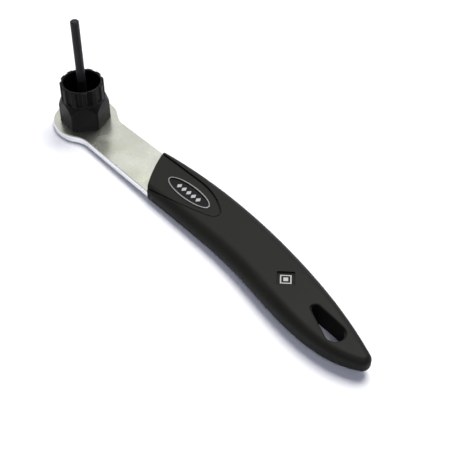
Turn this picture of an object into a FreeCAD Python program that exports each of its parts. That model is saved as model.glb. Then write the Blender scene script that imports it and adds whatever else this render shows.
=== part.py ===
import FreeCAD, Part
import math
import os

# Cassette lockring tool, in millimetres.
# The origin is on the socket's axis, in the top face of the steel arm.
# +Z runs up the socket and its guide pin, and +X runs along the arm to the grip.

# Steel arm: a flat plate with a round head, a tapered blade and a hidden tang
arm_thick = 4.0
head_r = 17.5
neck_half = 11.8           # half the blade's width where it leaves the head
neck_r = 14.0              # concave round between the head and the blade
blade_half = 12.4          # half the blade's width where the grip takes over
shoulder_inset = 3.0       # how far the full-width blade runs into the grip
tang_half = 8.5
tang_end_x = 148.0
tang_corner_r = 4.0
key_hole_r = 4.5           # holes in the tang that the grip's plastic fills
key_hole_xs = (98.0, 128.0)
arm_edge = 0.35            # broken edge of the plate

# Socket: one piece, hexagon below and a toothed sleeve above, all built out from the bore
hex_sides = 6
hex_wall = 2.1             # from the bore to the hexagon's flats, for a 24 mm spanner
hex_trim = 0.29            # how much is turned off the hexagon's corners
hex_turn = -5.0            # degrees from the arm to a hexagon corner
cone_low_z = 10.2          # where the turned cone leaves the hexagon's corners
cone_high_z = 15.0         # where the cone meets the toothed sleeve
mouth_z = 24.5
tooth_count = 12
tip_r = 11.7               # standard lockring spline, 23.4 over the teeth
tooth_depth = 0.95
sleeve_wall = 0.85         # from the bore to the valleys between the teeth
tip_half_angle = 5.5       # degrees, half a tooth at its tip
root_half_angle = 9.2      # degrees, half a tooth at its root
tooth_turn = 0.0
runout = 0.9               # height of the ramp that ends each valley
ramp_sink = 0.2            # how far below the cone's top the ramp starts
bore_lip = 0.45            # chamfer inside the mouth
tip_chamfer = 0.45

# Guide pin: stands in the middle of the socket and enters the hub's hollow axle
pin_r = 2.3
pin_top_z = 61.6
pin_chamfer = 0.5
shank_r = 1.85             # turned-down end that is pressed into the socket's floor

# Grip: one moulding, drawn by its outline seen from above and its thickness along X
front_far_x = 52.3         # the slanted front edge, at the far side
front_near_x = 70.3        # and at the near side
front_bow = 1.15           # how far the front edge bows towards the head
front_half = 13.4          # half the chord of the front edge, across the arm
far_crest_x = 98.0         # the far edge is one arc, with its crest here
far_crest_y = 16.5
far_end_y = -7.48          # and it ends here, where it meets the near edge
near_front_y = -12.8       # the near edge runs straight, then swells out for the palm
near_hollow_x = 98.0
near_hollow_y = -12.5
near_bend_x = 132.0
near_bend_y = -13.8
near_swell_back = 30.6     # how far in front of the tip it swells out most
near_swell_y = -19.5
near_turn_back = 12.6      # and how far in front of the tip it turns in
near_turn_y = -17.0
tip_x = 217.6              # the grip's rear end, which sets the tool's whole length
tip_round = 4.0
corner_lead = 3.9          # how far past the tip both edges would meet without its round
front_half_thick = 4.5
crest_half_thick = 6.3
rear_half_thick = 3.9
crest_x = 165.0            # thickest place
front_side_r = 3.4         # rounds along the sides, larger at the thickest place
crest_side_r = 5.6
rear_side_r = 3.4
front_edge_r = 0.5

# Sunken tongue on the grip's top, with a groove round it
tongue_far_y = 10.85
tongue_bend_x = 84.5       # where the far edge starts to curve in
tongue_end_x = 109.4
tongue_end_y = 0.6
tongue_end_r = 3.8
tongue_near_turn = 290.0   # heading in degrees where the round end meets the near edge
tongue_near_front = (66.0, -12.2)
tongue_near_mid = (88.0, -8.7)
tongue_drop = 0.45
groove_wide = 0.8
groove_deep = 0.8

# Oval badge set into the tongue
badge_x = 86.5
badge_y = 0.85
badge_half_long = 15.15
badge_half_wide = 4.85
badge_rim = 0.9
badge_rim_proud = 0.45     # above the tongue
badge_field_drop = 0.05    # below the tongue
badge_seat = 0.8           # depth of its seat below the tongue

# Square recess that stands on its corner, behind the badge
diamond_x = 161.0
diamond_y = -3.9
diamond_half = 5.9         # half its diagonal
diamond_deep = 0.8
diamond_corner_r = 0.5

# Teardrop hanging hole
drop_big_back = 20.1       # how far in front of the tip its large end is centred
drop_big_y = -9.55
drop_big_r = 4.7
drop_small_back = 35.0     # and its small end
drop_small_y = -6.3
drop_small_r = 2.2
drop_lip_r = 1.0           # soft rim on top
drop_low_lip_r = 0.3       # sharper rim underneath

# Derived values
arm_mid_z = -arm_thick / 2
root_r = tip_r - tooth_depth
bore_r = root_r - sleeve_wall
hex_corner_r = (bore_r + hex_wall) / math.cos(math.pi / hex_sides)
hex_turned_r = hex_corner_r - hex_trim
corner_x = tip_x + corner_lead
far_run = corner_x - far_crest_x
far_fall = far_crest_y - far_end_y
far_edge_r = (far_run ** 2 + far_fall ** 2) / (2 * far_fall)
drop_big_x = tip_x - drop_big_back
drop_small_x = tip_x - drop_small_back

# Working values
reach = 60.0               # longer than any cut has to be
overlap = 1.0              # how far two forms run into each other before they are joined
blank_lead = 2.0           # how far the grip's blank runs past its front edge
tongue_lead = 10.0         # how far the tongue's outline runs past the front edge
wall_share = 0.9           # most of the grip's half thickness that a side round may take
near_miss = 0.05           # keeps two faces apart, and counts as no distance in a search
rim_margin = 0.3           # how far round the hanging hole its rim is searched for
level = 0.5                # least upright part of a normal on the grip's top
straight_up = 0.99         # least upright part of an axis that counts as upright


def vec(x, y, z=0.0):
    return FreeCAD.Vector(x, y, z)


def polar(radius, degrees, z=0.0):
    angle = math.radians(degrees)
    return vec(radius * math.cos(angle), radius * math.sin(angle), z)


def prism(edges, low_z, high_z):
    """A straight block over a closed outline that lies in the plane z = 0."""
    face = Part.Face(Part.Wire(edges))
    face.translate(vec(0, 0, low_z))
    return face.extrude(vec(0, 0, high_z - low_z))


def polygon_edges(points):
    pairs = zip(points, points[1:] + points[:1])
    return [Part.LineSegment(a, b).toShape() for a, b in pairs]


def ellipse_block(x, y, half_long, half_wide):
    curve = Part.Ellipse(vec(x, y), half_long, half_wide)
    return prism([curve.toShape()], -reach, reach)


def turned(points):
    """A solid of revolution about Z from (radius, z) corners."""
    corners = [vec(radius, 0, z) for radius, z in points]
    face = Part.Face(Part.Wire(polygon_edges(corners)))
    return face.revolve(vec(0, 0), vec(0, 0, 1), 360)


def hexagon(low_z, high_z):
    """A hexagon block with its corners turned off."""
    corners = [polar(hex_corner_r, hex_turn + 360 / hex_sides * k) for k in range(hex_sides)]
    round_bar = Part.makeCylinder(hex_turned_r, high_z - low_z, vec(0, 0, low_z))
    return prism(polygon_edges(corners), low_z, high_z).common(round_bar)


def far_edge(x):
    return far_crest_y - far_edge_r + math.sqrt(far_edge_r ** 2 - (x - far_crest_x) ** 2)


def grip_outline():
    """The grip seen from above, running a little past its slanted front."""
    start_x = front_far_x - blank_lead
    far_start = vec(start_x, far_edge(start_x))
    near_start = vec(start_x, near_front_y)
    corner = vec(corner_x, far_edge(corner_x))
    near_points = [
        near_start,
        vec(near_hollow_x, near_hollow_y),
        vec(near_bend_x, near_bend_y),
        vec(tip_x - near_swell_back, near_swell_y),
        vec(tip_x - near_turn_back, near_turn_y),
        corner,
    ]
    near = Part.BSplineCurve()
    near.interpolate(near_points)
    return [
        Part.Arc(far_start, vec(far_crest_x, far_crest_y), corner).toShape(),
        near.toShape(),
        Part.LineSegment(near_start, far_start).toShape(),
    ]


def crest_arc(end_x, end_half, side):
    """Half of the side view's upper or lower edge, level at the crest."""
    run = end_x - crest_x
    fall = crest_half_thick - end_half
    radius = (run ** 2 + fall ** 2) / (2 * fall)
    mid_half = crest_half_thick - radius + math.sqrt(radius ** 2 - (run / 2) ** 2)
    heights = ((crest_x, crest_half_thick), (crest_x + run / 2, mid_half), (end_x, end_half))
    return Part.Arc(*[vec(x, -reach, arm_mid_z + side * half) for x, half in heights])


def grip_side_view():
    """The grip seen from the side, as a block right across it."""
    front_x = front_far_x - 2 * blank_lead
    top_front = crest_arc(front_x, front_half_thick, 1)
    top_rear = crest_arc(corner_x, rear_half_thick, 1)
    low_front = crest_arc(front_x, front_half_thick, -1)
    low_rear = crest_arc(corner_x, rear_half_thick, -1)
    edges = [
        top_front.toShape(),
        top_rear.toShape(),
        Part.LineSegment(top_rear.EndPoint, low_rear.EndPoint).toShape(),
        low_rear.toShape(),
        low_front.toShape(),
        Part.LineSegment(low_front.EndPoint, top_front.EndPoint).toShape(),
    ]
    outline = Part.Wire(edges)
    return Part.Face(outline).extrude(vec(0, 2 * reach, 0))


def side_radius(point):
    """Radius of the side rounds at one end of a rim edge, held within the wall there."""
    if point.x < crest_x - near_miss:
        return min(front_side_r, wall_share * front_half_thick)
    if point.x < crest_x + near_miss:
        return min(crest_side_r, wall_share * crest_half_thick)
    return min(rear_side_r, wall_share * rear_half_thick)


def is_rim(solid, edge):
    """True where the top or underside meets a side wall."""
    middle = edge.valueAt((edge.FirstParameter + edge.LastParameter) / 2)
    steepness = []
    for face in solid.ancestorsOfType(edge, Part.Face):
        steepness.append(abs(face.normalAt(*face.Surface.parameter(middle)).z))
    behind_end = middle.x > front_far_x - blank_lead + near_miss
    return behind_end and max(steepness) > level and min(steepness) < near_miss


def grip_blank():
    """The grip before anything is cut, with round sides of changing radius."""
    block = prism(grip_outline(), -reach, reach)
    tip_edges = [e for e in block.Edges if e.BoundBox.XMin > corner_x - near_miss]
    block = block.makeFillet(tip_round, tip_edges).common(grip_side_view())
    document = FreeCAD.newDocument("grip")
    base = document.addObject("Part::Feature", "block")
    base.Shape = block
    rounded = document.addObject("Part::Fillet", "sides")
    rounded.Base = base
    radii = []
    for number, edge in enumerate(block.Edges, 1):
        if is_rim(block, edge):
            ends = (edge.valueAt(edge.FirstParameter), edge.valueAt(edge.LastParameter))
            radii.append((number, side_radius(ends[0]), side_radius(ends[1])))
    rounded.Edges = radii
    document.recompute()
    return rounded.Shape.copy()


def front_cut():
    """Everything in front of the grip's slanted, bowed front edge."""
    far_end = vec(front_far_x, front_half)
    near_end = vec(front_near_x, -front_half)
    chord = near_end - far_end
    normal = vec(chord.y, -chord.x).normalize()
    middle = (far_end + near_end) * 0.5 + normal * front_bow
    bow_arc = Part.Arc(far_end, middle, near_end)
    slope = chord * (1 / chord.Length)
    far_out = far_end - slope * reach
    near_out = near_end + slope * reach
    back = vec(-reach, 0)
    edges = [
        Part.LineSegment(far_out, far_end).toShape(),
        bow_arc.toShape(),
        Part.LineSegment(near_end, near_out).toShape(),
        Part.LineSegment(near_out, near_out + back).toShape(),
        Part.LineSegment(near_out + back, far_out + back).toShape(),
        Part.LineSegment(far_out + back, far_out).toShape(),
    ]
    return prism(edges, -reach, reach)


def make_arm():
    slant = (front_near_x - front_far_x) / (2 * front_half)
    far_x = front_far_x + slant * (front_half - blade_half) + shoulder_inset
    near_x = front_near_x - slant * (front_half - blade_half) + shoulder_inset
    step = slant * (blade_half - tang_half)
    outline = [
        vec(0, neck_half),
        vec(0, -neck_half),
        vec(near_x, -blade_half),
        vec(near_x - step, -tang_half),
        vec(tang_end_x, -tang_half),
        vec(tang_end_x, tang_half),
        vec(far_x + step, tang_half),
        vec(far_x, blade_half),
    ]
    blade = prism(polygon_edges(outline), -arm_thick, 0)
    head = Part.makeCylinder(head_r, arm_thick, vec(0, 0, -arm_thick))
    plate = head.fuse(blade).removeSplitter()
    necks = [e for e in plate.Edges if upright(e) and near_x / 2 > e.BoundBox.XMin > 0]
    plate = plate.makeFillet(neck_r, necks)
    corners = [e for e in plate.Edges if upright(e) and e.BoundBox.XMin > tang_end_x - arm_edge]
    plate = plate.makeFillet(tang_corner_r, corners)
    rims = [e for e in plate.Edges if not upright(e)]
    plate = plate.makeChamfer(arm_edge, rims)
    for x in key_hole_xs:
        plate = plate.cut(Part.makeCylinder(key_hole_r, 2 * arm_thick, vec(x, 0, -1.5 * arm_thick)))
    return plate.cut(hexagon(-2 * arm_thick, arm_thick))


def upright(edge):
    box = edge.BoundBox
    return box.ZLength > 0.5 * arm_thick and box.XLength + box.YLength < near_miss


def toothed_sleeve():
    """Twelve straight teeth on a thin sleeve, with a ramp at the foot of each valley."""
    pitch = 360 / tooth_count
    edges = []
    for k in range(tooth_count):
        at = tooth_turn + k * pitch
        tip_start = polar(tip_r, at - tip_half_angle)
        tip_end = polar(tip_r, at + tip_half_angle)
        root_start = polar(root_r, at + root_half_angle)
        root_end = polar(root_r, at + pitch - root_half_angle)
        next_tip = polar(tip_r, at + pitch - tip_half_angle)
        edges.append(Part.Arc(tip_start, polar(tip_r, at), tip_end).toShape())
        edges.append(Part.LineSegment(tip_end, root_start).toShape())
        edges.append(Part.Arc(root_start, polar(root_r, at + pitch / 2), root_end).toShape())
        edges.append(Part.LineSegment(root_end, next_tip).toShape())
    low_z = cone_high_z - overlap
    ramp_z = cone_high_z - ramp_sink
    teeth = prism(edges, low_z, mouth_z)
    foot = turned([
        (0, low_z),
        (tip_r, low_z),
        (tip_r, ramp_z),
        (root_r - near_miss, ramp_z + runout),
        (0, ramp_z + runout),
    ])
    envelope = turned([
        (0, low_z),
        (tip_r, low_z),
        (tip_r, mouth_z - tip_chamfer),
        (tip_r - tip_chamfer, mouth_z),
        (0, mouth_z),
    ])
    return teeth.fuse(foot).common(envelope)


def make_socket():
    steepness = (cone_high_z - cone_low_z) / (hex_turned_r - tip_r)
    cone = turned([
        (0, -arm_thick),
        (hex_turned_r + overlap, -arm_thick),
        (hex_turned_r + overlap, cone_low_z - overlap * steepness),
        (tip_r, cone_high_z),
        (0, cone_high_z),
    ])
    body = hexagon(-arm_thick, cone_high_z).common(cone)
    body = body.fuse(toothed_sleeve()).removeSplitter()
    bore = turned([
        (0, 0),
        (bore_r - bore_lip, 0),
        (bore_r, bore_lip),
        (bore_r, mouth_z - bore_lip),
        (bore_r + 2 * bore_lip, mouth_z + bore_lip),
        (0, mouth_z + bore_lip),
    ])
    shank_hole = Part.makeCylinder(shank_r, 2 * arm_thick, vec(0, 0, -1.5 * arm_thick))
    return body.cut(bore).cut(shank_hole)


def make_pin():
    return turned([
        (0, -arm_thick),
        (shank_r, -arm_thick),
        (shank_r, 0),
        (pin_r, 0),
        (pin_r, pin_top_z - pin_chamfer),
        (pin_r - pin_chamfer, pin_top_z),
        (0, pin_top_z),
    ])


def tongue_edges():
    """The tongue's outline, open past the grip's front edge and round at its other end."""
    end_centre = vec(tongue_end_x - tongue_end_r, tongue_end_y)
    run = end_centre.x - tongue_bend_x
    rise = tongue_far_y - tongue_end_y
    # this radius makes the bend run smoothly into the round end
    bend_r = (run ** 2 + rise ** 2 - tongue_end_r ** 2) / (2 * (rise - tongue_end_r))
    bend_centre = vec(tongue_bend_x, tongue_far_y - bend_r)
    towards_end = end_centre - bend_centre
    bend_turn = math.degrees(math.atan2(towards_end.y, towards_end.x))
    bend_end = bend_centre + polar(bend_r, bend_turn)
    bend_mid = bend_centre + polar(bend_r, (90 + bend_turn) / 2)
    near_end = end_centre + polar(tongue_end_r, tongue_near_turn)
    front_far = vec(front_far_x - tongue_lead, tongue_far_y)
    front_near = vec(front_far_x - tongue_lead, tongue_near_front[1])
    near_front = vec(*tongue_near_front)
    return [
        Part.LineSegment(front_far, vec(tongue_bend_x, tongue_far_y)).toShape(),
        Part.Arc(vec(tongue_bend_x, tongue_far_y), bend_mid, bend_end).toShape(),
        Part.Arc(bend_end, vec(tongue_end_x, tongue_end_y), near_end).toShape(),
        Part.Arc(near_end, vec(*tongue_near_mid), near_front).toShape(),
        Part.LineSegment(near_front, front_near).toShape(),
        Part.LineSegment(front_near, front_far).toShape(),
    ]


def diamond_block():
    corners = [
        vec(diamond_x + diamond_half, diamond_y),
        vec(diamond_x, diamond_y + diamond_half),
        vec(diamond_x - diamond_half, diamond_y),
        vec(diamond_x, diamond_y - diamond_half),
    ]
    block = prism(polygon_edges(corners), -reach, reach)
    uprights = [e for e in block.Edges if e.BoundBox.ZLength > reach]
    return block.makeFillet(diamond_corner_r, uprights)


def teardrop_block():
    """Two round ends joined by their common tangents."""
    axis = vec(drop_small_x - drop_big_x, drop_small_y - drop_big_y)
    heading = math.degrees(math.atan2(axis.y, axis.x))
    spread = math.degrees(math.acos((drop_big_r - drop_small_r) / axis.Length))
    big = vec(drop_big_x, drop_big_y)
    small = vec(drop_small_x, drop_small_y)
    big_a = big + polar(drop_big_r, heading + spread)
    big_b = big + polar(drop_big_r, heading - spread)
    small_a = small + polar(drop_small_r, heading + spread)
    small_b = small + polar(drop_small_r, heading - spread)
    edges = [
        Part.Arc(big_a, big + polar(drop_big_r, heading + 180), big_b).toShape(),
        Part.LineSegment(big_b, small_b).toShape(),
        Part.Arc(small_b, small + polar(drop_small_r, heading), small_a).toShape(),
        Part.LineSegment(small_a, big_a).toShape(),
    ]
    return prism(edges, -reach, reach)


def lowered(solid, drop):
    moved = solid.copy()
    moved.translate(vec(0, 0, -drop))
    return moved


def top_half(block):
    """The part of a block above the arm, so that a cut stays out of the grip's underside."""
    return block.common(Part.makeBox(6 * reach, 4 * reach, reach, vec(-reach, -2 * reach, arm_mid_z)))


def make_grip_and_badge(arm):
    blank = grip_blank()
    tongue = Part.Wire(tongue_edges())
    tongue_block = top_half(prism(tongue.Edges, -reach, reach))
    inner_wire = tongue.makeOffset2D(-groove_wide)
    inner_block = top_half(prism(inner_wire.Edges, -reach, reach))
    groove_block = tongue_block.cut(inner_block)
    badge_block = top_half(ellipse_block(badge_x, badge_y, badge_half_long, badge_half_wide))
    field_block = ellipse_block(badge_x, badge_y, badge_half_long - badge_rim, badge_half_wide - badge_rim)
    seat_drop = tongue_drop + badge_seat

    tongue_cut = tongue_block.cut(lowered(blank, tongue_drop))
    groove_cut = groove_block.cut(lowered(blank, tongue_drop + groove_deep))
    seat_cut = badge_block.cut(lowered(blank, seat_drop))
    diamond_cut = top_half(diamond_block()).cut(lowered(blank, diamond_deep))

    grip = blank.cut(front_cut())
    grip = grip.makeFillet(front_edge_r, [e for e in grip.Edges if on_front(grip, e)])
    grip = grip.cut(teardrop_block())
    upper_lip = [e for e in grip.Edges if on_teardrop(e) and e.BoundBox.ZMin > arm_mid_z]
    grip = grip.makeFillet(drop_lip_r, upper_lip)
    lower_lip = [e for e in grip.Edges if on_teardrop(e) and e.BoundBox.ZMax < arm_mid_z]
    grip = grip.makeFillet(drop_low_lip_r, lower_lip)
    for cutter in (tongue_cut, groove_cut, seat_cut, diamond_cut, arm):
        grip = grip.cut(cutter)

    badge = badge_block.common(lowered(blank, tongue_drop - badge_rim_proud)).cut(lowered(blank, seat_drop))
    field_cut = top_half(field_block).cut(lowered(blank, tongue_drop + badge_field_drop))
    return grip, badge.cut(field_cut)


def on_front(solid, edge):
    """True for the edges of the slanted front face."""
    for face in solid.ancestorsOfType(edge, Part.Face):
        if face.Surface.TypeId == "Part::GeomCylinder" and face.BoundBox.XMax < front_near_x + overlap:
            if abs(face.Surface.Axis.z) > straight_up:
                return True
    return False


def on_teardrop(edge):
    """True for the rims of the hanging hole and not for its upright seams."""
    box = edge.BoundBox
    low_x = drop_small_x - drop_small_r - rim_margin
    high_x = drop_big_x + drop_big_r + rim_margin
    low_y = drop_big_y - drop_big_r - rim_margin
    high_y = drop_small_y + drop_small_r + rim_margin
    inside = box.XMin > low_x and box.XMax < high_x and box.YMin > low_y and box.YMax < high_y
    return inside and box.ZLength < 0.5 * crest_half_thick


def save(name, shape):
    solids = shape.Solids
    print(name, len(solids), "solid,", round(shape.Volume), "mm3, valid", shape.isValid())
    result = solids[0] if len(solids) == 1 else Part.makeCompound(solids)
    result.exportStep("parts/" + name + ".step")


os.makedirs("parts", exist_ok=True)
arm = make_arm()
grip, badge = make_grip_and_badge(arm)
save("arm", arm)
save("socket", make_socket())
save("guide_pin", make_pin())
save("grip", grip)
save("badge", badge)
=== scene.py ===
import math

import bmesh
import bpy
from mathutils import Matrix, Quaternion, Vector


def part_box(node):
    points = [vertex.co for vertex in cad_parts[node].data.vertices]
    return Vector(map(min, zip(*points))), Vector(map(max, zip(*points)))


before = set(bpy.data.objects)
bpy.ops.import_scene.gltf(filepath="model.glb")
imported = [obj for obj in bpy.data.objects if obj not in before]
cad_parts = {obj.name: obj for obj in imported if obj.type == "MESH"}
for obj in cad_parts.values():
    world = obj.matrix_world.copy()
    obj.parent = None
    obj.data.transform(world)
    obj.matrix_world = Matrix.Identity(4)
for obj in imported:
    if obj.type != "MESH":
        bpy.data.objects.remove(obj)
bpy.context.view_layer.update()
print("frame loaded:", ", ".join(sorted(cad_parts)))


# Helpers for node trees
columnWide = 190
rowHigh = 170
shaderColumn = 10


def addNode(tree, kind, column, row, values=None, **settings):
    node = tree.nodes.new(kind)
    node.location = (column * columnWide, -row * rowHigh)
    for name, value in settings.items():
        setattr(node, name, value)
    for name, value in (values or {}).items():
        node.inputs[name].default_value = value
    return node


def addMath(tree, operation, column, row, first, second=None, clamp=False):
    node = addNode(tree, "ShaderNodeMath", column, row, operation=operation, use_clamp=clamp)
    for place, source in enumerate((first, second)):
        if isinstance(source, (int, float)):
            node.inputs[place].default_value = source
        elif source is not None:
            tree.links.new(source, node.inputs[place])
    return node.outputs[0]


def addRange(tree, column, row, value, fromLow, fromHigh, toLow=0.0, toHigh=1.0):
    # a soft step or a change of scale, held between its two ends
    node = addNode(tree, "ShaderNodeMapRange", column, row)
    sources = (value, fromLow, fromHigh, toLow, toHigh)
    for name, source in zip(("Value", "From Min", "From Max", "To Min", "To Max"), sources):
        if isinstance(source, (int, float)):
            node.inputs[name].default_value = source
        else:
            tree.links.new(source, node.inputs[name])
    return node.outputs["Result"]


def addMix(tree, column, row, mask, first, second):
    # two colours, each a fixed one or a socket, mixed by a mask
    node = addNode(tree, "ShaderNodeMix", column, row, data_type="RGBA")
    tree.links.new(mask, node.inputs["Factor"])
    for socket, source in zip((node.inputs[6], node.inputs[7]), (first, second)):
        if isinstance(source, tuple):
            socket.default_value = (*source, 1.0)
        else:
            tree.links.new(source, socket)
    return node.outputs[2]


def addBump(tree, column, row, height, bump, normal):
    distance, strength = bump
    node = addNode(tree, "ShaderNodeBump", column, row, {"Distance": distance, "Strength": strength})
    tree.links.new(height, node.inputs["Height"])
    tree.links.new(normal, node.inputs["Normal"])
    return node.outputs["Normal"]


def objectParts(tree, column, row):
    coords = addNode(tree, "ShaderNodeTexCoord", column, row)
    parts = addNode(tree, "ShaderNodeSeparateXYZ", column + 1, row)
    tree.links.new(coords.outputs["Object"], parts.inputs["Vector"])
    return parts.outputs["X"], parts.outputs["Y"], parts.outputs["Z"]


def startGroup(name, inputs, outputs):
    group = bpy.data.node_groups.new(name, "ShaderNodeTree")
    for socketName, value in inputs.items():
        socket = group.interface.new_socket(
            socketName, in_out="INPUT", socket_type="NodeSocketFloat")
        socket.default_value = value
    for socketName, kind in outputs.items():
        group.interface.new_socket(socketName, in_out="OUTPUT", socket_type=kind)
    entry = addNode(group, "NodeGroupInput", -2, 0)
    leave = addNode(group, "NodeGroupOutput", 8, 0)
    return group, entry, leave


def useGroup(tree, group, column, row, values):
    node = addNode(tree, "ShaderNodeGroup", column, row)
    node.node_tree = group
    for name, value in values.items():
        node.inputs[name].default_value = value
    return node


# Effects that several finishes share
wearLook = {
    "samples": 6,
    "flat": 0.995,                   # likeness of the two normals where no wear shows
    "sharp": 0.85,                   # and where it shows in full
    "patches": {"Scale": 700.0, "Detail": 3.0},
    "patchLow": 0.3,
    "patchHigh": 0.65,
}
cloudNoise = {"Detail": 4.0, "Roughness": 0.55, "Distortion": 0.4}
grainNoise = {"Detail": 2.0, "Roughness": 0.5}


def makeEdgeWear():
    # finds edges by how far a rounded normal turns away from the flat one
    group, entry, leave = startGroup(
        "edgeWear", {"Width": 0.0004, "Patchiness": 0.5},
        {"Mask": "NodeSocketFloat", "Normal": "NodeSocketVector"})
    bevel = addNode(group, "ShaderNodeBevel", 0, 0, samples=wearLook["samples"])
    plain = addNode(group, "ShaderNodeNewGeometry", 0, 1)
    turned = addNode(group, "ShaderNodeVectorMath", 1, 0, operation="DOT_PRODUCT")
    coords = addNode(group, "ShaderNodeTexCoord", 0, 2)
    patches = addNode(group, "ShaderNodeTexNoise", 1, 2, wearLook["patches"])
    group.links.new(entry.outputs["Width"], bevel.inputs["Radius"])
    group.links.new(bevel.outputs["Normal"], turned.inputs[0])
    group.links.new(plain.outputs["Normal"], turned.inputs[1])
    group.links.new(coords.outputs["Object"], patches.inputs["Vector"])
    away = addRange(group, 2, 0, turned.outputs["Value"], wearLook["flat"], wearLook["sharp"])
    spots = addRange(group, 2, 2, patches.outputs["Fac"], wearLook["patchLow"], wearLook["patchHigh"])
    kept = addMath(group, "SUBTRACT", 3, 2, 1.0, entry.outputs["Patchiness"])
    share = addMath(group, "MAXIMUM", 4, 2, spots, kept)
    group.links.new(addMath(group, "MULTIPLY", 5, 0, away, share), leave.inputs["Mask"])
    group.links.new(bevel.outputs["Normal"], leave.inputs["Normal"])
    return group


def makeClouds():
    # slow, uneven drifts of tone round a half, as plating and oxide have
    group, entry, leave = startGroup(
        "clouds", {"Scale": 60.0, "Contrast": 1.0}, {"Value": "NodeSocketFloat"})
    coords = addNode(group, "ShaderNodeTexCoord", 0, 0)
    noise = addNode(group, "ShaderNodeTexNoise", 1, 0, cloudNoise)
    group.links.new(coords.outputs["Object"], noise.inputs["Vector"])
    group.links.new(entry.outputs["Scale"], noise.inputs["Scale"])
    centred = addMath(group, "SUBTRACT", 2, 0, noise.outputs["Fac"], 0.5)
    spread = addMath(group, "MULTIPLY", 3, 0, centred, entry.outputs["Contrast"])
    group.links.new(addMath(group, "ADD", 4, 0, spread, 0.5, clamp=True), leave.inputs["Value"])
    return group


def makeGrain():
    # fine grain, drawn out along X where Stretch is over 1
    group, entry, leave = startGroup(
        "grain", {"Scale": 2500.0, "Stretch": 1.0}, {"Value": "NodeSocketFloat"})
    x, y, z = objectParts(group, 0, 0)
    joined = addNode(group, "ShaderNodeCombineXYZ", 3, 0)
    group.links.new(addMath(group, "DIVIDE", 2, 0, x, entry.outputs["Stretch"]), joined.inputs["X"])
    group.links.new(y, joined.inputs["Y"])
    group.links.new(z, joined.inputs["Z"])
    noise = addNode(group, "ShaderNodeTexNoise", 4, 0, grainNoise)
    group.links.new(joined.outputs["Vector"], noise.inputs["Vector"])
    group.links.new(entry.outputs["Scale"], noise.inputs["Scale"])
    group.links.new(noise.outputs["Fac"], leave.inputs["Value"])
    return group


edgeWear = makeEdgeWear()
clouds = makeClouds()
grain = makeGrain()


def startMaterial(name, metallic=0.0, specular=0.5):
    material = bpy.data.materials.new(name)
    material.use_nodes = True
    tree = material.node_tree
    shader = tree.nodes["Principled BSDF"]
    shader.location = (shaderColumn * columnWide, 0)
    tree.nodes["Material Output"].location = ((shaderColumn + 2) * columnWide, 0)
    shader.inputs["Metallic"].default_value = metallic
    shader.inputs["Specular IOR Level"].default_value = specular
    return material, tree, shader


def startFinish(look, name, metallic=0.0, specular=0.5):
    # a material with its clouds, grain and edge wear in place
    material, tree, shader = startMaterial(name, metallic, specular)
    drift = useGroup(tree, clouds, 0, 0, look["clouds"]).outputs["Value"]
    fine = useGroup(tree, grain, 0, 1, look["grain"]).outputs["Value"]
    wear = useGroup(tree, edgeWear, 0, 2, look["wear"])
    return material, tree, shader, drift, fine, wear.outputs["Mask"], wear.outputs["Normal"]


def paint(nodeName, material):
    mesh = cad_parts[nodeName].data
    mesh.materials.clear()
    mesh.materials.append(material)


# Steel arm: satin plate, its upright cut edge painted brighter than its faces as a painted reflection of
# the pale table
armLook = {
    "face": (0.67, 0.678, 0.605),
    "faceDark": (0.59, 0.598, 0.53),
    "speck": (0.47, 0.475, 0.43),
    "stain": (0.62, 0.64, 0.46),
    # painted reflection on the upright sides, standing in for the pale table they mirror; also the bare
    # steel of worn edges
    "rim": (0.93, 0.935, 0.95),
    "clouds": {"Scale": 70.0, "Contrast": 1.4},
    "stainClouds": {"Scale": 48.0, "Contrast": 2.2},
    "grain": {"Scale": 1700.0, "Stretch": 1.6},
    "wear": {"Width": 0.0004, "Patchiness": 0.2},
    "stainRange": (0.6, 1.0, 0.0, 0.5),    # cloud value where stains start, are full, and both shares
    "speckRange": (0.5, 0.72, 0.0, 0.45),  # the same for specks, by the grain's value
    "wallRange": (0.8, 0.3),         # upright part of the normal, from the faces to the cut edge
    "roughness": (0.20, 0.32),
    "bump": (0.00005, 0.55),         # its height in metres and its strength
}


def makeSteel():
    material, tree, shader, drift, fine, worn, rounded = startFinish(armLook, "satinSteel", metallic=1.0)
    plain = addNode(tree, "ShaderNodeNewGeometry", 0, 3)
    parts = addNode(tree, "ShaderNodeSeparateXYZ", 1, 3)
    tree.links.new(plain.outputs["Normal"], parts.inputs["Vector"])
    upright = addMath(tree, "ABSOLUTE", 2, 3, parts.outputs["Z"])
    paintedReflection = addRange(tree, 3, 3, upright, *armLook["wallRange"])
    stains = useGroup(tree, clouds, 0, 4, armLook["stainClouds"]).outputs["Value"]
    stainShare = addRange(tree, 1, 4, stains, *armLook["stainRange"])
    speckShare = addRange(tree, 2, 1, fine, *armLook["speckRange"])
    face = addMix(tree, 2, 0, drift, armLook["faceDark"], armLook["face"])
    stained = addMix(tree, 3, 0, stainShare, face, armLook["stain"])
    specked = addMix(tree, 4, 0, speckShare, stained, armLook["speck"])
    # painted reflection: the upright sides take the bright colour of the table mirrored in them
    sides = addMix(tree, 5, 0, paintedReflection, specked, armLook["rim"])
    colour = addMix(tree, 6, 0, worn, sides, armLook["rim"])
    rough = addRange(tree, 4, 1, drift, 0.0, 1.0, *armLook["roughness"])
    normal = addBump(tree, 5, 2, fine, armLook["bump"], rounded)
    tree.links.new(colour, shader.inputs["Base Color"])
    tree.links.new(rough, shader.inputs["Roughness"])
    tree.links.new(normal, shader.inputs["Normal"])
    return material
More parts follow.
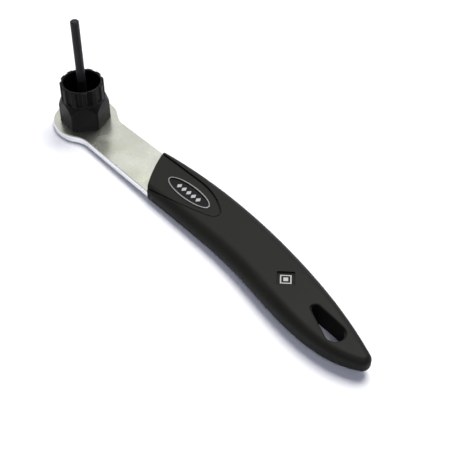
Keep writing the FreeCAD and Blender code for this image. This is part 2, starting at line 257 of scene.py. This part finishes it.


# Socket: black oxide over turned and milled steel, rubbed along its edges, with painted shade in its bore
# and spline valleys
socketLook = {
    "oxide": (0.0024, 0.0025, 0.0023),
    "oxidePale": (0.0055, 0.0058, 0.0048),
    # painted shade for the bore and the spline valleys
    "paintedShade": (0.0004, 0.0004, 0.0004),
    "rubbed": (0.090, 0.091, 0.084),
    "clouds": {"Scale": 190.0, "Contrast": 2.0},
    "grain": {"Scale": 3200.0, "Stretch": 1.0},
    "wear": {"Width": 0.00035, "Patchiness": 0.7},
    "specular": 0.08,
    "roughness": (0.34, 0.52),
    "bump": (0.00003, 0.35),
    "turningPitch": 0.00035,
    "turningHeight": 0.12,           # beside the grain's height of 1
    "boreRange": (0.0101, 0.0100),   # radius at which the bore's blackness ends and is full
    "tipRadius": 0.0115,
    "valleyRadius": 0.0108,
    "valleyShare": 0.7,              # how black the valleys are beside the bore
    "mouthFade": 0.0015,
}


def makeOxide():
    material, tree, shader, drift, fine, worn, rounded = startFinish(
        socketLook, "blackOxide", specular=socketLook["specular"])
    x, y, z = objectParts(tree, 0, 3)
    oxide = addMix(tree, 2, 0, drift, socketLook["oxide"], socketLook["oxidePale"])
    rubbed = addMix(tree, 4, 0, worn, oxide, socketLook["rubbed"])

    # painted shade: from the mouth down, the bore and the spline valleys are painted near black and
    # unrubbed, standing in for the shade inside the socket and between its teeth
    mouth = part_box("socket")[1].z
    squareX = addMath(tree, "MULTIPLY", 2, 5, x, x)
    squareY = addMath(tree, "MULTIPLY", 2, 6, y, y)
    radius = addMath(tree, "SQRT", 4, 5, addMath(tree, "ADD", 3, 5, squareX, squareY))
    within = addRange(tree, 5, 5, radius, *socketLook["boreRange"])
    below = addRange(tree, 5, 6, z, mouth, mouth - socketLook["mouthFade"])
    bore = addMath(tree, "MULTIPLY", 6, 5, within, below)
    low = addRange(tree, 5, 7, radius, socketLook["tipRadius"], socketLook["valleyRadius"],
                   0.0, socketLook["valleyShare"])
    valleys = addMath(tree, "MULTIPLY", 6, 7, low, below)
    paintedShade = addMath(tree, "MAXIMUM", 7, 5, bore, valleys)
    colour = addMix(tree, 8, 0, paintedShade, rubbed, socketLook["paintedShade"])

    rough = addRange(tree, 4, 1, drift, 0.0, 1.0, *socketLook["roughness"])
    turns = addMath(tree, "MULTIPLY", 2, 3, z, 2 * math.pi / socketLook["turningPitch"])
    rings = addMath(tree, "MULTIPLY", 4, 3, addMath(tree, "SINE", 3, 3, turns), socketLook["turningHeight"])
    height = addMath(tree, "ADD", 5, 3, rings, fine)
    normal = addBump(tree, 6, 2, height, socketLook["bump"], rounded)
    tree.links.new(colour, shader.inputs["Base Color"])
    tree.links.new(rough, shader.inputs["Roughness"])
    tree.links.new(normal, shader.inputs["Normal"])
    return material


# Guide pin: drawn steel with a thin dark finish, even on its chamfer and end, and painted shade on its foot
# at the socket's mouth
pinLook = {
    "dark": (0.012, 0.012, 0.013),
    "pale": (0.022, 0.022, 0.024),
    "end": (0.018, 0.018, 0.0185),
    # painted shade for the foot, where the socket's mouth shades it
    "paintedFootShade": (0.0008, 0.0008, 0.0008),
    "clouds": {"Scale": 140.0, "Contrast": 2.0},
    "grain": {"Scale": 3600.0, "Stretch": 1.0},
    "wear": {"Width": 0.0003, "Patchiness": 0.3},
    "specular": 0.13,
    "roughness": (0.38, 0.95),       # of the shank and of its foot under the painted shade
    "bump": (0.00002, 0.3),
    "endRange": (0.0007, 0.00049),   # how far below its top the end's colour starts and is full
    "paintedFootShadeRange": (0.0015, 0.0003),  # how far above the socket's mouth the painted shade starts, is full
}


def makePin():
    material, tree, shader, drift, fine, worn, rounded = startFinish(
        pinLook, "darkPin", specular=pinLook["specular"])
    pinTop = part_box("guide_pin")[1].z
    z = objectParts(tree, 0, 3)[2]
    body = addMix(tree, 2, 0, drift, pinLook["dark"], pinLook["pale"])
    endStart, endFull = pinLook["endRange"]
    end = addRange(tree, 3, 3, z, pinTop - endStart, pinTop - endFull)
    bare = addMath(tree, "MAXIMUM", 4, 3, end, worn)
    finish = addMix(tree, 5, 0, bare, body, pinLook["end"])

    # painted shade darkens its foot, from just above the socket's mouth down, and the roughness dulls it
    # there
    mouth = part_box("socket")[1].z
    shadeStart, shadeFull = pinLook["paintedFootShadeRange"]
    paintedFootShade = addRange(tree, 4, 5, z, mouth + shadeStart, mouth + shadeFull)
    colour = addMix(tree, 6, 0, paintedFootShade, finish, pinLook["paintedFootShade"])
    rough = addRange(tree, 5, 5, paintedFootShade, 0.0, 1.0, *pinLook["roughness"])
    normal = addBump(tree, 5, 2, fine, pinLook["bump"], rounded)
    tree.links.new(colour, shader.inputs["Base Color"])
    tree.links.new(rough, shader.inputs["Roughness"])
    tree.links.new(normal, shader.inputs["Normal"])
    return material


# Grip: soft matte black moulding with a fine texture, a parting line and a printed square, with painted
# shade in its square recess and its hanging hole
gripLook = {
    "black": (0.0040, 0.0042, 0.0028),
    "blackPale": (0.0088, 0.0092, 0.0066),
    # painted shade for the square recess and the hanging hole
    "paintedShade": (0.0007, 0.0007, 0.0006),
    "print": (0.50, 0.50, 0.47),
    "clouds": {"Scale": 55.0, "Contrast": 1.6},
    "grain": {"Scale": 2100.0, "Stretch": 1.0},
    "wear": {"Width": 0.0004, "Patchiness": 0.6},
    "specular": 0.13,
    "sheen": 0.14,
    "sheenRoughness": 0.3,
    "roughness": (0.50, 0.62),
    "holeRoughness": 0.9,
    "bump": (0.00004, 0.35),
    "partingZ": -0.002,
    "partingHalf": 0.00007,
    "partingHeight": 0.8,            # beside the grain's height of 1
    "squareCentre": (0.161, -0.0039),
    "squareHalf": 0.0058,            # half diagonals of the recess, the printed ring and its core
    "ringOuter": 0.0037,
    "ringInner": 0.0030,
    "core": 0.0015,
    "soft": 0.00012,                 # width of the blurred edge of each
    "holeSmall": (0.1826, -0.0063, 0.0022),  # the hanging hole's two ends: place and radius
    "holeBig": (0.1975, -0.00955, 0.0047),
    "holeFade": (0.0005, 0.0001),    # distance outside the hole where its painted shade ends, is full
}


def squareMasks(tree, x, y, z):
    # distance from the square's centre, counted along its diagonals, on the grip's top only
    centreX, centreY = gripLook["squareCentre"]
    offX = addMath(tree, "ABSOLUTE", 3, 4, addMath(tree, "SUBTRACT", 2, 4, x, centreX))
    offY = addMath(tree, "ABSOLUTE", 3, 5, addMath(tree, "SUBTRACT", 2, 5, y, centreY))
    distance = addMath(tree, "ADD", 4, 4, offX, offY)
    soft = gripLook["soft"]
    insideRing = addRange(tree, 5, 4, distance, gripLook["ringOuter"] + soft, gripLook["ringOuter"])
    outsideHole = addRange(tree, 5, 5, distance, gripLook["ringInner"] - soft, gripLook["ringInner"])
    core = addRange(tree, 5, 6, distance, gripLook["core"] + soft, gripLook["core"])
    inRecess = addRange(tree, 5, 8, distance, gripLook["squareHalf"] + soft, gripLook["squareHalf"])
    ring = addMath(tree, "MULTIPLY", 6, 4, insideRing, outsideHole)
    mark = addMath(tree, "MAXIMUM", 7, 4, ring, core)
    onTop = addMath(tree, "GREATER_THAN", 6, 5, z, 0.0)
    printed = addMath(tree, "MULTIPLY", 8, 4, mark, onTop)
    recess = addMath(tree, "MULTIPLY", 7, 8, inRecess, onTop)
    return printed, recess


def holeMask(tree, x, y):
    # distance from the hanging hole's outline, along and across the line between its two ends
    smallX, smallY, smallR = gripLook["holeSmall"]
    bigX, bigY, bigR = gripLook["holeBig"]
    apart = math.hypot(bigX - smallX, bigY - smallY)
    lineX, lineY = (bigX - smallX) / apart, (bigY - smallY) / apart
    offX = addMath(tree, "SUBTRACT", 2, 9, x, smallX)
    offY = addMath(tree, "SUBTRACT", 2, 10, y, smallY)
    along = addMath(tree, "ADD", 4, 9,
                    addMath(tree, "MULTIPLY", 3, 9, offX, lineX),
                    addMath(tree, "MULTIPLY", 3, 10, offY, lineY))
    across = addMath(tree, "SUBTRACT", 4, 11,
                     addMath(tree, "MULTIPLY", 3, 11, offX, lineY),
                     addMath(tree, "MULTIPLY", 3, 12, offY, lineX))
    nearest = addRange(tree, 5, 9, along, 0.0, apart, 0.0, apart)
    beyond = addMath(tree, "SUBTRACT", 6, 9, along, nearest)
    squares = addMath(tree, "ADD", 7, 10,
                      addMath(tree, "MULTIPLY", 6, 10, beyond, beyond),
                      addMath(tree, "MULTIPLY", 6, 11, across, across))
    radius = addRange(tree, 6, 12, nearest, 0.0, apart, smallR, bigR)
    outside = addMath(tree, "SUBTRACT", 8, 10, addMath(tree, "SQRT", 7, 11, squares), radius)
    return addRange(tree, 9, 10, outside, *gripLook["holeFade"])


def makeGripPlastic():
    material, tree, shader, drift, fine, worn, rounded = startFinish(
        gripLook, "gripPlastic", specular=gripLook["specular"])
    shader.inputs["Sheen Weight"].default_value = gripLook["sheen"]
    shader.inputs["Sheen Roughness"].default_value = gripLook["sheenRoughness"]
    x, y, z = objectParts(tree, 0, 3)
    printed, recess = squareMasks(tree, x, y, z)
    hole = holeMask(tree, x, y)
    black = addMix(tree, 2, 0, drift, gripLook["black"], gripLook["blackPale"])
    # painted shade: the square recess and the hanging hole are painted near black, where shade falls in
    # them
    shadedBlack = addMix(tree, 8, 0, addMath(tree, "MAXIMUM", 9, 8, recess, hole), black, gripLook["paintedShade"])
    colour = addMix(tree, 9, 0, printed, shadedBlack, gripLook["print"])

    cloudy = addRange(tree, 4, 1, drift, 0.0, 1.0, *gripLook["roughness"])
    inHole = addMath(tree, "MULTIPLY", 8, 1, hole, gripLook["holeRoughness"])
    rough = addMath(tree, "MAXIMUM", 9, 1, cloudy, inHole)
    offLine = addMath(tree, "ABSOLUTE", 3, 7, addMath(tree, "SUBTRACT", 2, 7, z, gripLook["partingZ"]))
    seam = addRange(tree, 4, 7, offLine, gripLook["partingHalf"], 0.0, 0.0, gripLook["partingHeight"])
    height = addMath(tree, "ADD", 6, 7, seam, fine)
    normal = addBump(tree, 7, 2, height, gripLook["bump"], rounded)
    tree.links.new(colour, shader.inputs["Base Color"])
    tree.links.new(rough, shader.inputs["Roughness"])
    tree.links.new(normal, shader.inputs["Normal"])
    return material


# Badge: bare silver rim round a glossy dark field with a row of plain lozenges
badgeLook = {
    "rim": (0.30, 0.305, 0.29),
    "field": (0.003, 0.003, 0.003),
    "mark": (0.46, 0.46, 0.45),
    "grain": {"Scale": 3000.0, "Stretch": 1.0},
    "wear": {"Width": 0.00025, "Patchiness": 0.2},
    "specular": 0.16,
    "rimMetal": 0.9,
    "roughness": (0.16, 0.30),
    "grainRange": (0.3, 0.7),        # the part of the grain that changes the roughness
    "bump": (0.00001, 0.2),
    "rimWide": 0.0007,
    "rimRange": (0.99, 1.03),        # where the rim starts and is full, 1 being on its oval
    "markPitch": 0.0036,
    "markHalfLong": 0.0013,
    "markHalfWide": 0.0017,
    "markRange": (1.08, 0.98),       # where a lozenge ends and is full, 1 being on its outline
    "rowHalf": 0.0090,
    "soft": 0.00010,
}


def makeBadge():
    material, tree, shader = startMaterial("badgeMetal", specular=badgeLook["specular"])
    fine = useGroup(tree, grain, 0, 1, badgeLook["grain"]).outputs["Value"]
    wear = useGroup(tree, edgeWear, 0, 2, badgeLook["wear"])
    low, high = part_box("badge")
    centre = (low + high) / 2
    half = (high - low) / 2
    x, y = objectParts(tree, 0, 3)[:2]
    fromX = addMath(tree, "SUBTRACT", 2, 3, x, centre.x)
    fromY = addMath(tree, "SUBTRACT", 2, 4, y, centre.y)

    # 1 on the oval where the rim ends and the field starts
    shareX = addMath(tree, "DIVIDE", 3, 3, fromX, half.x - badgeLook["rimWide"])
    shareY = addMath(tree, "DIVIDE", 3, 4, fromY, half.y - badgeLook["rimWide"])
    oval = addMath(tree, "ADD", 5, 3,
                   addMath(tree, "POWER", 4, 3, shareX, 2.0),
                   addMath(tree, "POWER", 4, 4, shareY, 2.0))
    rim = addRange(tree, 6, 3, oval, *badgeLook["rimRange"])

    # the row repeats along X, and each lozenge is counted along its diagonals
    step = addMath(tree, "PINGPONG", 3, 5, fromX, badgeLook["markPitch"] / 2)
    across = addMath(tree, "DIVIDE", 4, 5, step, badgeLook["markHalfLong"])
    along = addMath(tree, "DIVIDE", 4, 6, addMath(tree, "ABSOLUTE", 3, 6, fromY), badgeLook["markHalfWide"])
    lozenge = addRange(tree, 6, 5, addMath(tree, "ADD", 5, 5, across, along), *badgeLook["markRange"])
    ending = addMath(tree, "ABSOLUTE", 3, 7, fromX)
    inRow = addRange(tree, 4, 7, ending, badgeLook["rowHalf"] + badgeLook["soft"], badgeLook["rowHalf"])
    mark = addMath(tree, "MULTIPLY", 7, 5, lozenge, inRow)

    field = addMix(tree, 8, 3, mark, badgeLook["field"], badgeLook["mark"])
    colour = addMix(tree, 9, 3, rim, field, badgeLook["rim"])
    metal = addMath(tree, "MULTIPLY", 9, 4, rim, badgeLook["rimMetal"])
    rough = addRange(tree, 7, 1, fine, *badgeLook["grainRange"], *badgeLook["roughness"])
    normal = addBump(tree, 7, 2, fine, badgeLook["bump"], wear.outputs["Normal"])
    tree.links.new(colour, shader.inputs["Base Color"])
    tree.links.new(metal, shader.inputs["Metallic"])
    tree.links.new(rough, shader.inputs["Roughness"])
    tree.links.new(normal, shader.inputs["Normal"])
    return material


paint("arm", makeSteel())
paint("socket", makeOxide())
paint("guide_pin", makePin())
paint("grip", makeGripPlastic())
paint("badge", makeBadge())
print("finishes made")


# Table: runs from the head's far rim to the grip's lowest height at its thickest place. The
# grip's front end hangs lower than that line and reaches about 1 mm into the table.
tableLook = {
    "size": 3.0,
    "bellyX": 0.165,                 # where the grip is thickest
    "seen": (0.98, 0.98, 0.98),      # what the camera and shiny surfaces see
    "cast": (0.80, 0.80, 0.82),      # what it throws back as light
    "roughness": 0.9,
}


def makeTable():
    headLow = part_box("arm")[0]
    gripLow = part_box("grip")[0]
    slope = (gripLow.z - headLow.z) / (tableLook["bellyX"] - headLow.x)
    form = bmesh.new()
    bmesh.ops.create_grid(form, x_segments=1, y_segments=1, size=tableLook["size"] / 2)
    bmesh.ops.rotate(form, verts=form.verts, matrix=Matrix.Rotation(-math.atan(slope), 3, "Y"))
    bmesh.ops.translate(form, verts=form.verts, vec=(headLow.x, 0, headLow.z))
    mesh = bpy.data.meshes.new("table")
    form.to_mesh(mesh)
    form.free()
    table = bpy.data.objects.new("table", mesh)
    bpy.context.scene.collection.objects.link(table)
    return table


def makeTablePaint():
    material, tree, shader = startMaterial("tablePaint", specular=0.0)
    rays = addNode(tree, "ShaderNodeLightPath", 0, 0)
    shiny = addMath(tree, "MAXIMUM", 1, 0, rays.outputs["Is Camera Ray"], rays.outputs["Is Glossy Ray"])
    seen = addMath(tree, "MAXIMUM", 2, 0, shiny, rays.outputs["Is Transmission Ray"])
    colour = addMix(tree, 3, 0, seen, tableLook["cast"], tableLook["seen"])
    shader.inputs["Roughness"].default_value = tableLook["roughness"]
    tree.links.new(colour, shader.inputs["Base Color"])
    return material


table = makeTable()
table.data.materials.append(makeTablePaint())


# Light: a soft box high on the far side, weak lamps on the left and the near side, a dim wall
# that the arm mirrors, and a room that casts faint blue light and looks pale in reflections
lightLook = {
    "roomCast": (0.070, 0.075, 0.135),
    "roomMirrored": (0.50, 0.51, 0.52),
    "roomSeen": (1.0, 1.0, 1.0),
    "aim": (0.1, 0.0, 0.0),
}
farBox = {"size": (0.9, 0.85), "place": (-0.06, 0.56, 1.38), "power": 26.0, "colour": (1.0, 0.99, 0.97)}
leftLamp = {"size": (0.8, 0.8), "place": (-1.24, -0.49, 0.46), "power": 1.2, "colour": (0.85, 0.88, 1.0)}
nearLamp = {"size": (0.6, 0.6), "place": (0.95, -0.65, 1.0), "power": 5.0, "colour": (0.85, 0.88, 1.0)}
farWall = {"size": (2.8, 1.8), "place": (-1.45, 0.95, 1.10), "power": 5.0, "colour": (1.0, 1.0, 0.98)}


def makeLamp(name, look):
    lamp = bpy.data.lights.new(name, "AREA")
    lamp.shape = "RECTANGLE"
    lamp.size, lamp.size_y = look["size"]
    lamp.energy = look["power"]
    lamp.color = look["colour"]
    holder = bpy.data.objects.new(name, lamp)
    bpy.context.scene.collection.objects.link(holder)
    place = Vector(look["place"])
    holder.location = place
    holder.rotation_mode = "QUATERNION"
    holder.rotation_quaternion = (Vector(lightLook["aim"]) - place).to_track_quat("-Z", "Y")


def makeRoom():
    world = bpy.data.worlds.new("room")
    world.use_nodes = True
    tree = world.node_tree
    rays = addNode(tree, "ShaderNodeLightPath", -4, 0)
    straight = addMath(
        tree, "MAXIMUM", -3, 1, rays.outputs["Is Camera Ray"], rays.outputs["Is Transmission Ray"])
    unseen = addMix(
        tree, -3, 0, rays.outputs["Is Glossy Ray"], lightLook["roomCast"], lightLook["roomMirrored"])
    colour = addMix(tree, -2, 0, straight, unseen, lightLook["roomSeen"])
    tree.links.new(colour, tree.nodes["Background"].inputs["Color"])
    bpy.context.scene.world = world


makeRoom()
makeLamp("farBox", farBox)
makeLamp("leftLamp", leftLamp)
makeLamp("nearLamp", nearLamp)
makeLamp("farWall", farWall)

# Camera: place and heading fitted to the photograph, for a square picture
cameraLook = {
    "place": (0.37278, -0.230689, 0.342284),
    "heading": (-0.531421, 0.475083, -0.701348),
    "roll": 0.232,                   # degrees
    "lens": 80.0,
    "sensor": 36.0,
    "reach": (0.01, 20.0),           # nearest and farthest distance that it sees
}


def makeCamera():
    lens = bpy.data.cameras.new("camera")
    lens.lens = cameraLook["lens"]
    lens.sensor_width = cameraLook["sensor"]
    lens.clip_start, lens.clip_end = cameraLook["reach"]
    camera = bpy.data.objects.new("camera", lens)
    bpy.context.scene.collection.objects.link(camera)
    camera.location = cameraLook["place"]
    camera.rotation_mode = "QUATERNION"
    level = Vector(cameraLook["heading"]).to_track_quat("-Z", "Y")
    camera.rotation_quaternion = level @ Quaternion((0, 0, 1), math.radians(cameraLook["roll"]))
    bpy.context.scene.camera = camera


makeCamera()
bpy.context.scene.view_settings.view_transform = "Standard"
print("table, light and camera placed")
